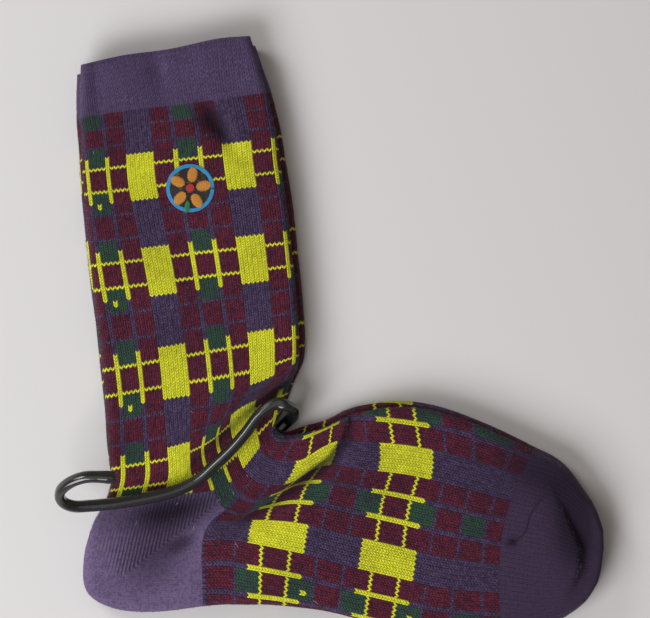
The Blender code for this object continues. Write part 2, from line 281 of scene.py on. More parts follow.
def makePlainKnit(name, base, light, depth, softness, ridges=0.0):
    board, wale, course = startKnit(name, knitLook["plainSheen"])
    relief = stitchRelief(wale, course) * (1 - ridges) + waleRidge(wale) * ridges
    heather = board.noise(700.0, 3.0).ease(0.40, 0.68)
    colour = board.mix(heather * 0.55, base, yarns["purpleDark"])
    colour = board.mix(board.perStitch(wale, course) * 0.35, colour, yarns["purpleDark"])
    board.feed("Base Color", addFuzz(board, relief, colour, light, softness, 0.62))
    fluff = board.noise(3000.0, 2.0)
    board.bump(relief * depth + fluff * 0.55, knitLook["stitchDepth"])
    return board.material


# Plain knit whose wales stand out as soft ridges with painted shade between them; the ridges fade below the
# gore line.
def makeHeelKnit(name):
    board, wale, course = startKnit(name, knitLook["plainSheen"])
    strength = board.attribute("ridge")
    ridge = waleRidge(wale)
    weave = stitchRelief(wale, course)
    relief = ridge * strength + weave * (1 - strength * 0.6) * 0.55
    heather = board.noise(800.0, 3.0).ease(0.40, 0.68)
    colour = board.mix(heather * 0.50, yarns["plain"], yarns["purpleDark"])
    gaps = (1 - ridge) * strength * 0.60
    fuzzed = addFuzz(board, weave.top(0.55), colour, yarns["purpleLight"], 0.42)
    board.feed("Base Color", board.mix(gaps, fuzzed, yarns["ridgeGap"]))
    fluff = board.noise(3000.0, 2.0)
    board.bump(relief + fluff * 0.35, knitLook["heelDepth"])
    return board.material


# Shiny embroidery thread: fine plies along a strand, with painted shade darkening the grooves between them.
def makeThread(name, colour, dark, roughness=0.42, sheen=0.15, specular=0.5):
    board = Board(name, roughness, sheen, 0.0, specular)
    along, around = board.places("strand")
    twist = (along * 26.0 + around * 3.0).fract()
    ply = 1 - abs(twist - 0.5) * 2.0
    mottled = board.noise(1500.0, 2.0).ease(0.35, 0.75)
    tone = board.mix((1 - ply) * 0.45 + mottled * 0.20, colour, dark)
    board.feed("Base Color", tone)
    board.feed("Roughness", ply * 0.10 + roughness - 0.05)
    board.bump(ply, 0.00006)
    return board.material


# Mesh helpers.
# Points in millimetres; uvs hold one pair for each face corner.
def makeMesh(name, points, faces, material, uvName=None, uvs=None, smooth=True):
    mesh = bpy.data.meshes.new(name)
    mesh.from_pydata([tuple(point) for point in np.asarray(points, float) * millimetre], [], faces)
    if uvName:
        layer = mesh.uv_layers.new(name=uvName)
        layer.data.foreach_set("uv", np.asarray(uvs, np.float32).ravel())
    mesh.materials.append(material)
    mesh.polygons.foreach_set("use_smooth", [smooth] * len(mesh.polygons))
    mesh.update()
    piece = bpy.data.objects.new(name, mesh)
    bpy.context.scene.collection.objects.link(piece)
    return piece


# Turns every face outwards, after joining points that lie closer than a given distance in metres.
def faceOutward(piece, joinWithin=0.0):
    form = bmesh.new()
    form.from_mesh(piece.data)
    if joinWithin:
        bmesh.ops.remove_doubles(form, verts=form.verts, dist=joinWithin)
    bmesh.ops.recalc_face_normals(form, faces=form.faces)
    form.to_mesh(piece.data)
    form.free()


# Smooth curve through values at uneven knots, read at spots; values may be vectors.
def hermite(knots, values, spots):
    knots = np.asarray(knots, float)
    values = np.asarray(values, float)
    slopes = np.zeros_like(values)
    spans = np.diff(knots)
    widths = spans.reshape((-1,) + (1,) * (values.ndim - 1))
    rates = np.diff(values, axis=0) / widths
    slopes[0] = rates[0]
    slopes[-1] = rates[-1]
    slopes[1:-1] = (rates[:-1] * widths[1:] + rates[1:] * widths[:-1]) / (widths[1:] + widths[:-1])
    if values.ndim > 1:  # slopes are held back where short and long spans meet, so no curve doubles back
        size = np.linalg.norm(rates, axis=-1, keepdims=True)
        limit = 2.6 * np.minimum(size[:-1], size[1:])
        slope = np.linalg.norm(slopes[1:-1], axis=-1, keepdims=True)
        slopes[1:-1] *= np.minimum(1.0, limit / np.maximum(slope, 1e-9))
    index = np.clip(np.searchsorted(knots, spots, side="right") - 1, 0, len(knots) - 2)
    shape = (-1,) + (1,) * (values.ndim - 1)
    h = spans[index].reshape(shape)
    t = ((np.asarray(spots) - knots[index]) / spans[index]).reshape(shape)
    a, b = values[index], values[index + 1]
    ma, mb = slopes[index] * h, slopes[index + 1] * h
    return (a * (2 * t ** 3 - 3 * t ** 2 + 1) + ma * (t ** 3 - 2 * t ** 2 + t)
            + b * (3 * t ** 2 - 2 * t ** 3) + mb * (t ** 3 - t ** 2))


# Faces of a closed tube: rings of points from a first number on, and a cap at each end.
def tubeFaces(first, rings, around):
    starts = [first + ring * around for ring in range(rings)]
    faces = [(a + k, a + (k + 1) % around, b + (k + 1) % around, b + k)
             for a, b in zip(starts[:-1], starts[1:]) for k in range(around)]
    caps = [range(start, start + around) for start in (starts[0], starts[-1])]
    return faces, [tuple(caps[0])[::-1], tuple(caps[1])]


def smooth(value, low, high):
    t = np.clip((value - low) / (high - low), 0.0, 1.0)
    return t * t * (3 - 2 * t)


# Signed distance to a broken line, + on its right, with the line's third number at the nearest spot.
def lineDistance(points, line):
    best = np.full(len(points), 1e9)
    signed = np.zeros(len(points))
    amount = np.zeros(len(points))
    for start, finish in zip(line[:-1], line[1:]):
        a, b = np.array(start[:2]), np.array(finish[:2])
        along = b - a
        t = np.clip(((points - a) @ along) / (along @ along), 0, 1)
        offset = points - (a + t[:, None] * along)
        distance = np.hypot(offset[:, 0], offset[:, 1])
        side = np.sign(offset[:, 0] * along[1] - offset[:, 1] * along[0])
        near = distance < best
        best[near] = distance[near]
        signed[near] = (distance * side)[near]
        amount[near] = (start[2] + (finish[2] - start[2]) * t)[near]
    return signed, amount


# Soft oval dents, added up: each has its place, half length, half width, turn in degrees and depth.
def hollows(points, dents):
    total = 0.0
    for x, y, long, short, turn, depth in dents:
        angle = radians(turn)
        dx = points[:, 0] - x
        dy = points[:, 1] - y
        u = (dx * cos(angle) + dy * sin(angle)) / long
        v = (-dx * sin(angle) + dy * cos(angle)) / short
        total = total + depth * np.exp(-(u * u + v * v))
    return total


# Each key row of the sock: rows to the next one, its course, the wale at the back edge, where the back
# edge, wales 0, 10 and 20 and the front edge lie on the table, and the wale at the front edge.
cage = [
    (19, -45, -11, (-111.4, 122.6), (-91.5, 127), (-71, 129.8), (-48.2, 134.6), (-35.2, 135.6), 26.5),
    (9, -31, -12.3, (-111.8, 98.6), (-86.5, 102.4), (-66.6, 104.6), (-45, 107.6), (-27.5, 110), 27.6),
    (9, -22.5, -12.8, (-111.4, 91.8), (-85.9, 95.5), (-65, 97.8), (-43.4, 100.5), (-25.7, 102.8), 27.9),
    (13, -13.5, -13.3, (-110.9, 83.4), (-85.1, 87.2), (-63.7, 89.5), (-41.8, 92), (-23.7, 94.2), 28.1),
    (18, 0, -13.8, (-110.2, 69), (-84.2, 72), (-62.1, 74.7), (-40.1, 77), (-21.6, 79.2), 28.4),
    (18, 18, -14.2, (-108.4, 47.5), (-80.1, 50.8), (-58.5, 53.6), (-36.8, 55.8), (-18.4, 58.2), 28.4),
    (18, 36, -14.5, (-106.2, 26.1), (-75.8, 29.7), (-54.9, 32.4), (-33.8, 34.7), (-16.2, 36.9), 28.4),
    (18, 54, -15.3, (-103.4, 2.5), (-72, 7.2), (-51.6, 10.4), (-31.5, 13.4), (-14.1, 16.4), 28.5),
    (10, 72, -16, (-101, -21.6), (-69.1, -15.8), (-48.6, -12.2), (-29.7, -8.6), (-13, -5), 28.5),
    (9, 82, -16, (-99.8, -34.5), (-68, -29), (-47.6, -26), (-30.2, -21.2), (-13.4, -11.8), 28.6),
    (9, 91, -15.8, (-99.2, -46), (-67.3, -40.4), (-49.2, -35.9), (-35.6, -27.4), (-14.6, -16), 29),
    (9, 100, -15.3, (-98.2, -56), (-66.8, -49.8), (-52.4, -44.2), (-39, -32.6), (-17.2, -22.8), 29.2),
    (7.5, 109, -14.9, (-97.6, -66), (-66.3, -60.2), (-52.6, -53), (-38, -43.4), (-19.6, -30.2), 29.3),
    (9, 116.5, -14.8, (-100.2, -74.5), (-67, -70.6), (-47.6, -67.4), (-34.4, -54.6), (-22.4, -36.2), 29.2),
    (11, 117.2, -14.9, (-105.6, -84), (-65.6, -74.6), (-47.2, -68.4), (-33.8, -55.4), (-23.6, -38.6), 29),
    (11, 117.9, -15, (-110, -100.5), (-63.6, -78.6), (-46.8, -69.6), (-33.2, -56.2), (-23.8, -40.6), 29),
    (11, 118.6, -15, (-108.5, -115), (-61.4, -82), (-46.2, -70.8), (-32.5, -57), (-23.2, -42), 29),
    (11, 119.3, -15.1, (-95.5, -122.6), (-59, -84.6), (-45.4, -72.2), (-31.8, -57.6), (-22.2, -43.2), 28.9),
    (9, 120.3, -15.2, (-75.5, -123.8), (-57, -86), (-44.4, -73.4), (-31, -58.4), (-20.8, -44), 28.9),
    (6.5, 121.2, -15.3, (-55.5, -121.2), (-54.6, -86.4), (-42.6, -74.6), (-30.2, -59), (-19.4, -44.4), 28.8),
    (9, 127, -15, (-46.5, -120.6), (-45, -86), (-37.4, -77.4), (-26.8, -60.6), (-16.4, -44.3), 28.6),
    (9, 136, -14.2, (-34.5, -120.6), (-33.4, -87), (-27.2, -73.8), (-14.8, -61.6), (-9.4, -43), 28.2),
    (9, 145, -13.8, (-24, -120.8), (-20.2, -89), (-15, -69.9), (-3.8, -55), (-0.6, -40.4), 27.6),
    (9, 154, -13.4, (-11.5, -122), (-8, -91.5), (-3.4, -69.9), (4.6, -52.2), (6.4, -36.8), 27.8),
    (18, 163, -13, (0.2, -123.8), (4.2, -94.9), (8.4, -72.2), (14, -53.4), (13, -34.4), 28.4),
    (18, 181, -13.2, (24.4, -130), (28.8, -100.8), (32, -77), (37.5, -55.7), (34.5, -31.6), 30.4),
    (17, 199, -12.6, (49.2, -133.8), (53.2, -106.4), (56.2, -83), (61, -61), (60, -36.8), 30.2),
    (10, 216, -11.8, (78, -134), (77.2, -109), (78.6, -88), (84.6, -68), (92.5, -51.2), 29),
    (10, 226, -11, (94.5, -131.2), (96.5, -112), (98.6, -91.5), (101.8, -73.2), (105.4, -58), 28),
    (8, 236, -10, (108.5, -125), (110.2, -111.5), (112, -95.5), (113.4, -81), (115.2, -69.6), 27),
    (5, 244, -9, (117.4, -117.4), (119, -109.5), (120.6, -98), (121.4, -88), (121.4, -79.2), 25),
    (0, 249, -8, (121.6, -110.5), (122.8, -106), (123.9, -98.4), (124.2, -92.4), (124, -87), 23),
]
# What lies where on the cage, and how the cloth is built over it.
sockLook = {
    "heelRows": (13, 19),    # key rows between which the heel pocket lies
    "heelWale": 7.5,         # the gore point: the pocket reaches half way round from here
    "gore": (-90.5, -106.0),  # where the gore line starts on the table
    "goreRun": (74.0, 57.0),  # and the way it runs
    "heelLean": 13,          # degrees that the heel's wales lean
    "heelWide": 1.53,        # one of those wales across
    "heelTall": 1.27,        # and one of their courses
    "cuffRow": 1,
    "toeRow": 27,
    "edge": 3.7,             # radius of the rounded edges
    "waleRelief": 0.10,      # how far each wale's middle stands out
    "clothThick": 0.9,
    "toeClosing": 9.0,       # rows over which the toe's tip closes
    "cuffClosing": 4.0,
    "waleShift": {"top": 0.0, "bottom": 7.0},    # the lower sock's check lies shifted
    "courseShift": {"top": 0.0, "bottom": 5.0},
}
samplesPerWale = 2
walesRound = 80
edgeFlat = pi / 2 - 1    # length that a quarter bend hides, for a radius of 1
spread = {               # how far the lower sock stands out: key rows, back, front
    "row": [0, 1, 5, 8, 11, 13, 16, 19, 21, 23, 25, 28, 31],
    "back": [2, 1.8, 1.4, 1, 0.7, 0.6, 0.4, 0.3, 0.2, 0.2, 0.2, 0.2, 0],
    "front": [0.8, 1.8, 2.6, 2.6, 1.2, 0.6, 0.8, 1.6, 3.6, 3.4, 2.6, 1.4, 0],
    "cuff": 0.16,        # share of the cuff by which its top edge lies lower
}
# Folds of the upper sock: how wide each one's soft side is, and places along it with its depth there.
folds = [
    (11, [(-12.4, -8.5, 2.8), (-16.7, -16.6, 3.3), (-25.7, -22.5, 3.5), (-32.9, -27.9, 3.4),
            (-39.6, -33.4, 3.2), (-49.1, -42.6, 2.8), (-54.5, -48.6, 2.3), (-60.8, -53.4, 1.7),
            (-64.3, -60.3, 0.9), (-67.5, -66.5, 0)]),
    (12, [(8, -38, 2), (5.4, -45.4, 3), (-0.9, -53.1, 3.7), (-9, -59, 3.8),
            (-16, -65.3, 3.5), (-23, -70.2, 3), (-29.7, -74.7, 2.5), (-39.6, -80.3, 1.8),
            (-48.2, -84.6, 1), (-55.5, -89, 0)]),
    (15, [(102, -72, 0.4), (105.5, -79.5, 1.8), (109, -88, 3), (112.2, -95, 3.6),
            (112.4, -102.6, 3), (109.5, -111, 1.6), (105, -117, 0)]),
]
dents = [
    (-52.5, 98, 10.5, 5.6, -58, 4.2),  # beside the motif
    (-46.5, 89.5, 8, 3.4, -50, 1.6),
    (-78, 120, 4.5, 12, 12, 1.9),  # cuff
    (-105, 112, 3, 14, 4, 1.1),
    (-74, 63, 5, 9, 10, 1.3),
    (-75, -97, 13, 10, 35, 2.8),  # heel
    (-64, -91, 9, 5, 30, 1.8),
    (-70, -75, 20, 5.4, 12, 3.4),
    (82.6, -92, 1.9, 1.1, 20, 2),  # hole at the end of the toe seam
    (22, -43, 9, 3, 8, 0.9),  # foot
    (-8, -100, 22, 6, -12, 0.5),
]
# Spots of painted shade: place, half length, half width, turn in degrees and strength.
paintedShadeSpots = [
    (-72, -78, 26, 11, 12, 1.00),
    (-79, -101, 17, 12, 35, 0.60),
    (110.5, -86, 9.5, 20, 5, 0.90),
    (94, -61, 22, 12, -25, 0.55),
    (82.6, -92, 2.4, 1.8, 20, 0.90),
]


# How far the upper sock's upper face lies below its highest level.
def upperRelief(points):
    deep = 0.25 + 0.30 * wander(points, 31.0, 3) + 0.12 * wander(points, 11.0, 7)
    for length, line in folds:
        side, drop = lineDistance(points, line)
        side = -side
        deep += drop * smooth(side, -0.1, 1.2) * (1 - smooth(side, 1.2, length))
        deep -= drop * 0.14 * np.exp(-((side + 2.2) / 2.4) ** 2)
    deep += hollows(points, dents)
    return np.clip(deep, 0.0, 5.5)


# Amount of painted shade, 0 to 1: darker towards the toe and in the corners of heel and toe.
def paintedShadeAmount(points):
    paintedShadeLevel = 0.36 * smooth(points[:, 0], 15.0, 90.0) + hollows(points, paintedShadeSpots)
    return np.clip(paintedShadeLevel, 0.0, 1.0)


def lowerRelief(points):
    return np.clip(0.25 + 0.30 * wander(points, 34.0, 19) + 0.12 * wander(points, 13.0, 23), 0.0, 1.2)


# Slow random swell between 0 and 1, from a few crossed waves.
def wander(points, size, seed):
    draw = np.random.default_rng(seed)
    total = np.zeros(len(points))
    for turn in draw.uniform(0, 2 * pi, 6):
        phase = draw.uniform(0, 2 * pi)
        total += np.sin((points[:, 0] * cos(turn) + points[:, 1] * sin(turn)) * 2 * pi / size + phase)
    return 0.5 + total / 12.0 * 1.4


# Room under the lower sock for the hook's rear arm.
def tunnel(points):
    pull = np.array([cos(hookTurn), sin(hookTurn)])
    away = points - creasePlace
    along = np.clip(-(away @ pull), 0.0, hookLook["rearReach"])
    reach = away + along[:, None] * pull
    distance = np.hypot(reach[:, 0], reach[:, 1])
    return hookLook["room"] * (1 - smooth(distance, *hookLook["roomEdge"]))


# One sock as a grid of stitches: rows along, half wales around.
class SockSurface:
    def __init__(self, side):
        self.side = side
        self.keyRows = np.concatenate([[0], np.cumsum([row[0] for row in cage[:-1]])])
        self.rows = np.arange(0, self.keyRows[-1] + 0.001, 1.0)
        self.columns = walesRound * samplesPerWale
        places = np.array([row[3:8] for row in cage], float)
        places[..., 0] += shiftX
        if side == "bottom":
            self.standOut(places)
        net = hermite(self.keyRows, places, self.rows)
        self.courses, backWales, frontWales = [
            hermite(self.keyRows, [row[i] for row in cage], self.rows) for i in (1, 2, 8)]
        self.layOut(net, backWales, frontWales)
        self.giveHeight()

    # The lower sock shows past the upper one at both edges and stops short of its cuff.
    def standOut(self, places):
        keys = np.arange(len(cage))
        across = places[:, 4] - places[:, 0]
        across /= np.hypot(across[:, 0], across[:, 1])[:, None]
        places[:, 0] -= across * np.interp(keys, spread["row"], spread["back"])[:, None]
        places[:, 4] += across * np.interp(keys, spread["row"], spread["front"])[:, None]
        places[0] += (places[1] - places[0]) * spread["cuff"]

    # Places on the table, row by row, round both edges; height is 1 on the upper face, -1 on the lower.
    def layOut(self, net, backWales, frontWales):
        self.points = np.zeros((len(self.rows), self.columns, 3))
        self.wales = np.zeros(self.points.shape[:2])
        self.bulge = sockLook["waleRelief"] * np.where(np.arange(self.columns) % 2 == 1, 1.0, -1.0)
        for r, (first, last) in enumerate(zip(backWales, frontWales)):
            wide = np.hypot(*(net[r, 4] - net[r, 0]))
            radius = min(sockLook["edge"], wide * 0.45)
            wrap = edgeFlat * radius / wide * (last - first)
            low, high = first - wrap, last + wrap
            wales = (np.arange(self.columns) / samplesPerWale - 34.0 - low) % walesRound + low
            self.wales[r] = wales
            over = wales <= high
            half = wide - 2 * radius + pi * radius
            under = walesRound - (high - low)
            run = half * np.where(over, (wales - low) / (high - low), (wales - high) / under)
            near = np.minimum(run, half - run)
            bend = np.clip(near / radius, 0, pi / 2)
            inset = np.where(near < pi * radius / 2, radius * (1 - np.cos(bend)), near - edgeFlat * radius)
            share = np.where(run < half / 2, inset, wide - inset) / wide
            flatWale = np.where(over, first + share * (last - first), last - share * (last - first))
            across = (net[r, 4] - net[r, 0]) / wide
            outward = np.where(run < half / 2, -1.0, 1.0) * np.where(over, 1.0, -1.0)
            pushed = across * (outward * np.cos(bend) * self.bulge)[:, None]
            self.points[r, :, :2] = hermite([first, 0, 10, 20, last], net[r], flatWale) + pushed
            self.points[r, :, 2] = np.where(over, 1.0, -1.0) * np.sin(bend)

    # Real heights between the sock's two faces, with its folds, dents and wales.
    def giveHeight(self):
        flat = self.points.reshape(-1, 3)
        spots, side = flat[:, :2], flat[:, 2].copy()
        deep = np.zeros(side.shape)
        if self.side == "top":
            relief = upperRelief(spots)
            # Painted shade on the upper face: darker where folds and dents sink the cloth, towards the toe
            # and in the corners of heel and toe.
            deep = np.maximum(smooth(relief, 1.0, 4.6), paintedShadeAmount(spots)) * np.clip(side, 0, 1)
            high = upperTop - relief
            low = upperBase + 0.15
            middle = (upperTop + upperBase) / 2
        else:
            high = lowerTop - 0.05 - lowerRelief(spots) * 0.5
            low = 0.05 + tunnel(spots)
            middle = (high + low) / 2
        sunk = np.minimum(np.tile(self.bulge, len(self.rows)) * np.abs(side), 0.0) - 0.02
        reach = np.where(side > 0, (high - middle) * side + sunk, (middle - low) * side - sunk)
        flat[:, 2] = middle + reach * self.edgeFade().ravel()
        self.deep = deep.reshape(self.wales.shape)

    # 1 along the sock, falling round to 0 at the toe's tip and part of the way at the cuff's edge.
    def edgeFade(self):
        left = np.clip((self.keyRows[-1] - self.rows) / sockLook["toeClosing"], 0, 1)
        gone = np.clip(self.rows / sockLook["cuffClosing"], 0, 1)
        fade = np.sqrt(1 - (1 - left) ** 2) * (0.55 + 0.45 * np.sqrt(1 - (1 - gone) ** 2))
        return np.repeat(fade, self.columns).reshape(self.wales.shape)

    # Zone of each cell: a row between two courses and one half wale.
    def zones(self):
        names = np.empty((len(self.rows) - 1, self.columns), dtype=object)
        heelStart, heelEnd = [self.keyRows[row] for row in sockLook["heelRows"]]
        for r, row in enumerate(self.rows[:-1] + 0.5):
            names[r] = "leg" if row < (heelStart + heelEnd) / 2 else "foot"
            if row < self.keyRows[sockLook["cuffRow"]]:
                names[r] = "cuff"
            elif row > self.keyRows[sockLook["toeRow"]]:
                names[r] = "toe"
            elif heelStart < row < heelEnd:
                turned = (self.wales[r] + 0.25 - sockLook["heelWale"]) % walesRound
                names[r, turned > walesRound / 2] = "heel"
        return names

    # Ridge number, place along it and ridge strength on the heel: straight down, then turned at the gore.
    def heelKnit(self, spots):
        run = np.array(sockLook["goreRun"]) / np.hypot(*sockLook["goreRun"])
        out = np.array([run[1], -run[0]])
        away = spots - sockLook["gore"] - (shiftX, 0.0)
        below = away @ out
        mirrored = spots - np.where(below > 0, 2 * below, 0.0)[:, None] * out
        lean = radians(sockLook["heelLean"])
        ridge = (mirrored[:, 0] * cos(lean) - mirrored[:, 1] * sin(lean)) / sockLook["heelWide"]
        along = (mirrored[:, 0] * sin(lean) + mirrored[:, 1] * cos(lean)) / sockLook["heelTall"]
        strength = (1 - smooth(below, -0.5, 2.5)) * smooth(away @ run, -9.0, 3.0)
        strength *= 0.14 + 0.70 * (1 - smooth(-below, 6.0, 24.0))
        return ridge, along, np.clip(strength, 0.0, 1.0)

    # Outward direction at each grid point, from its neighbours, so that the zones shade as one cloth.
    def normals(self):
        along = np.gradient(self.points, axis=0)
        around = np.roll(self.points, -1, axis=1) - np.roll(self.points, 1, axis=1)
        out = np.cross(around, along)
        out /= np.maximum(np.linalg.norm(out, axis=2, keepdims=True), 1e-9)
        centre = self.points.mean(axis=1, keepdims=True)
        return out if ((self.points - centre) * out).sum() >= 0 else -out

    # One zone as cloth with two faces: its points, cells, knit places, normals and amounts for the yarns.
    def cut(self, zone):
        used, edges = {}, {}
        faces, knit = [], []
        shiftW, shiftC = sockLook["waleShift"][self.side], sockLook["courseShift"][self.side]
        for r, k in np.argwhere(self.zones() == zone):
            nextK = (k + 1) % self.columns
            corners = [(r, k), (r, nextK), (r + 1, nextK), (r + 1, k)]
            face = [used.setdefault(corner, len(used)) for corner in corners]
            faces.append(face)
            places = []
            for row, column in corners:
                wale = self.wales[row, column]
                wale += walesRound * round((self.wales[r, k] - wale) / walesRound)
                places.append((wale + shiftW, self.courses[row] + shiftC))
            knit.append(places)
            for i in range(4):
                a, b = face[i], face[(i + 1) % 4]
                if (b, a) in edges:
                    del edges[b, a]
                else:
                    edges[a, b] = (places[i], places[(i + 1) % 4])
        spots = tuple(np.array(list(used)).T)
        outer = self.points[spots]
        out = self.normals()[spots]
        thick = np.minimum(sockLook["clothThick"], 0.02 + self.edgeFade() * sockLook["clothThick"])
        inner = outer - out * thick[spots][:, None]
        count = len(used)
        ridge = np.zeros(count)
        if zone == "heel":
            number, along, ridge = self.heelKnit(outer[:, :2])
            knit = [[(number[i], along[i]) for i in face] for face in faces]
        inside = [[i + count for i in face[::-1]] for face in faces]
        insideKnit = [places[::-1] for places in knit]
        rims = [[b, a, a + count, b + count] for a, b in edges]
        rimKnit = [[placeB, placeA, placeA, placeB] for placeA, placeB in edges.values()]
        allKnit = [place for places in knit + insideKnit + rimKnit for place in places]
        # The deep amount is the painted shade that the knit finishes darken by.
        amounts = {"ridge": np.tile(ridge, 2), "deep": np.tile(self.deep[spots], 2)}
        return (np.concatenate([outer, inner]), faces + inside + rims, allKnit,
                np.concatenate([out, -out]), amounts)


def buildSock(side):
    surface = SockSurface(side)
    for zone in ("cuff", "leg", "heel", "foot", "toe"):
        points, faces, knit, shading, amounts = surface.cut(zone)
        piece = makeMesh(side + "Sock_" + zone, points, faces, finishes[zone], "knit", knit)
        for key, values in amounts.items():
            layer = piece.data.attributes.new(key, "FLOAT", "POINT")
            layer.data.foreach_set("value", np.asarray(values, np.float32))
        total = sum(face.normal.dot(Vector(shading[face.vertices[0]])) for face in piece.data.polygons)
        if total < 0:
            piece.data.flip_normals()
        piece.data.normals_split_custom_set_from_vertices([tuple(way) for way in shading])
        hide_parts(side + "_" + zone)
        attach(piece, side + "_sock")
    print("sock", side, "rows", len(surface.rows), flush=True)
    return surface


finishes = {
    "cuff": makePlainKnit("cuffKnit", yarns["purple"], yarns["purpleLight"], 0.75, 0.36),
    "leg": makeJacquard("legKnit"),
    "heel": makeHeelKnit("heelKnit"),
    "foot": makeJacquard("footKnit"),
    "toe": makePlainKnit("toeKnit", yarns["toe"], yarns["toeLight"], 0.75, 0.36, 0.24),
}


# Hook.
hookLook = {
    "broad": 5.5,         # bar across its broad side
    "narrow": 4.4,
    "corner": 1.95,
    "parting": 0.07,      # how far the parting line stands out
    "armGap": 0.35,       # front arm above the upper sock
    "crookOut": 10.5,     # crook from the crease
    "loopLean": 50.0,     # degrees that the display loop leans
    "loopRise": 17.0,
    "rearZ": 2.2,
    "rearReach": 45.0,
    "rearStart": 8.0,     # part of that reach taken by the crook's bend
    "room": 4.95,         # height kept free under the lower sock for the rear arm
    "roomEdge": (10.0, 34.0),  # and how far from the arm it starts and ends to close
    "steps": 7,
    "colour": shade(0.008, 0.009, 0.011),
    "dust": shade(0.03, 0.03, 0.034),
}


def makeHookPlastic():
    board = Board("hookPlastic", 0.26, 0.0, 0.45, 0.55)
    board.shader.inputs["Coat Roughness"].default_value = 0.12
    scuffs = board.noise(420.0, 4.0).ease(0.45, 0.80)
    dust = board.noise(2200.0, 2.0).ease(0.62, 0.80)
    board.feed("Base Color", board.mix(dust * 0.12, hookLook["colour"], hookLook["dust"]))
    board.feed("Roughness", 0.25 + scuffs * 0.08)
    board.bump(board.noise(60.0, 1.0), 0.00003)
    return board.material


# Bar centre in millimetres from the crook, its broad side and its size, as the moulding lies.
def hookRoute():
    lean = radians(hookLook["loopLean"])
    leanSide = np.array([0.0, -sin(lean), cos(lean)])
    flatSide = np.array([sin(hookTurn), -cos(hookTurn), 0.0])
    half = hookLook["broad"] / 2 * cos(lean) + hookLook["narrow"] / 2 * sin(lean)
    arm = upperTop + hookLook["armGap"] + half
    high = arm + hookLook["loopRise"]
    rear = hookLook["rearZ"]
    loop = [
        (-78.9, -29.3, 0, 0.30), (-79.2, -29.3, 0, 0.72), (-80.2, -29.2, 0, 0.98), (-83, -29, 0, 1.08),
        (-87, -28.8, 0, 1), (-93, -29, 0.3, 1), (-99, -31, 2.6, 1), (-103.6, -34.4, 6.6, 1),
        (-104.8, -37.6, 10.5, 1), (-103.2, -40.6, 14, 1), (-99, -42.4, 16.2, 1),
    ]
    front = [(-93, -42.4), (-76, -40.6), (-56, -36.5), (-43.5, -31), (-36, -24.6), (-28, -17),
             (-21.5, -9.5), (-16.5, -2.8)]
    bend = [
        (-11.6, 1.6, arm - 0.1, 0.35, 1), (-7.4, 3.6, arm - 0.1, 0.70, 1), (-3.4, 2.9, arm - 0.3, 1, 1),
        (-0.2, 1.2, arm - 4.2, 1, 1), (0.2, -0.4, (arm + rear) / 2, 1, 1), (-0.4, -2.2, rear + 4.4, 1, 1),
        (-2.2, -4.2, rear + 1, 1, 0.95), (-4.8, -6.8, rear, 1, 0.90),
    ]
    route = [(x, y, high - drop, leanSide, size) for x, y, drop, size in loop]
    route += [(x, y, arm, leanSide, 1.0) for x, y in front]
    route += [(x, y, z, leanSide * (1 - flat) + flatSide * flat, size) for x, y, z, flat, size in bend]
    reach = (hookLook["rearReach"] - hookLook["rearStart"]) * cos(hookTurn)
    for step, size in ((0.3, 0.90), (0.65, 0.90), (0.93, 0.88), (0.985, 0.80), (1.0, 0.45)):
        route.append((bend[-1][0] - reach * step, bend[-1][1] - reach * step, rear, flatSide, size))
    return route


# Rounded bar section with a faint parting line on its two narrow sides.
def barProfile():
    spots = []
    corner = hookLook["corner"]
    wide, tall = hookLook["broad"] / 2, hookLook["narrow"] / 2
    for quarter, (sideX, sideY) in enumerate(((1, 1), (-1, 1), (-1, -1), (1, -1))):
        for step in range(6):
            angle = pi / 2 * (quarter + step / 5)
            spots.append((sideX * (wide - corner) + corner * cos(angle),
                          sideY * (tall - corner) + corner * sin(angle)))
        if quarter in (1, 3):
            spots += [(sideX * wide, sideY * 0.16), (sideX * (wide + hookLook["parting"]), 0.0),
                      (sideX * wide, -sideY * 0.16)]
    return spots


def buildHook():
    crook = np.append(creasePlace + np.array([cos(hookTurn), sin(hookTurn)]) * hookLook["crookOut"], 0.0)
    route = hookRoute()
    knots = np.arange(len(route))
    fine = np.linspace(0, len(route) - 1, (len(route) - 1) * hookLook["steps"] + 1)
    centres = hermite(knots, [crook + np.array(stop[:3]) for stop in route], fine)
    sides = np.array([np.interp(fine, knots, [stop[3][i] for stop in route]) for i in range(3)]).T
    sizes = np.interp(fine, knots, [stop[4] for stop in route])
    outline = barProfile()
    points = []
    for i, centre in enumerate(centres):
        along = centres[min(i + 1, len(centres) - 1)] - centres[max(i - 1, 0)]
        along /= np.linalg.norm(along)
        broad = sides[i] - along * (sides[i] @ along)
        broad /= np.linalg.norm(broad)
        narrow = np.cross(along, broad)
        for x, y in outline:
            points.append(centre + broad * (x * sizes[i]) + narrow * (y * sizes[i]))
    faces, caps = tubeFaces(0, len(centres), len(outline))
    faces += [cap[::-1] for cap in caps]
    piece = makeMesh("displayHook", points, faces, makeHookPlastic())
    faceOutward(piece, 0.00002)
    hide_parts("hook")
    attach(piece, "hook")
    print("hook faces", len(faces), flush=True)


surfaces = {"top": buildSock("top"), "bottom": buildSock("bottom")}
buildHook()


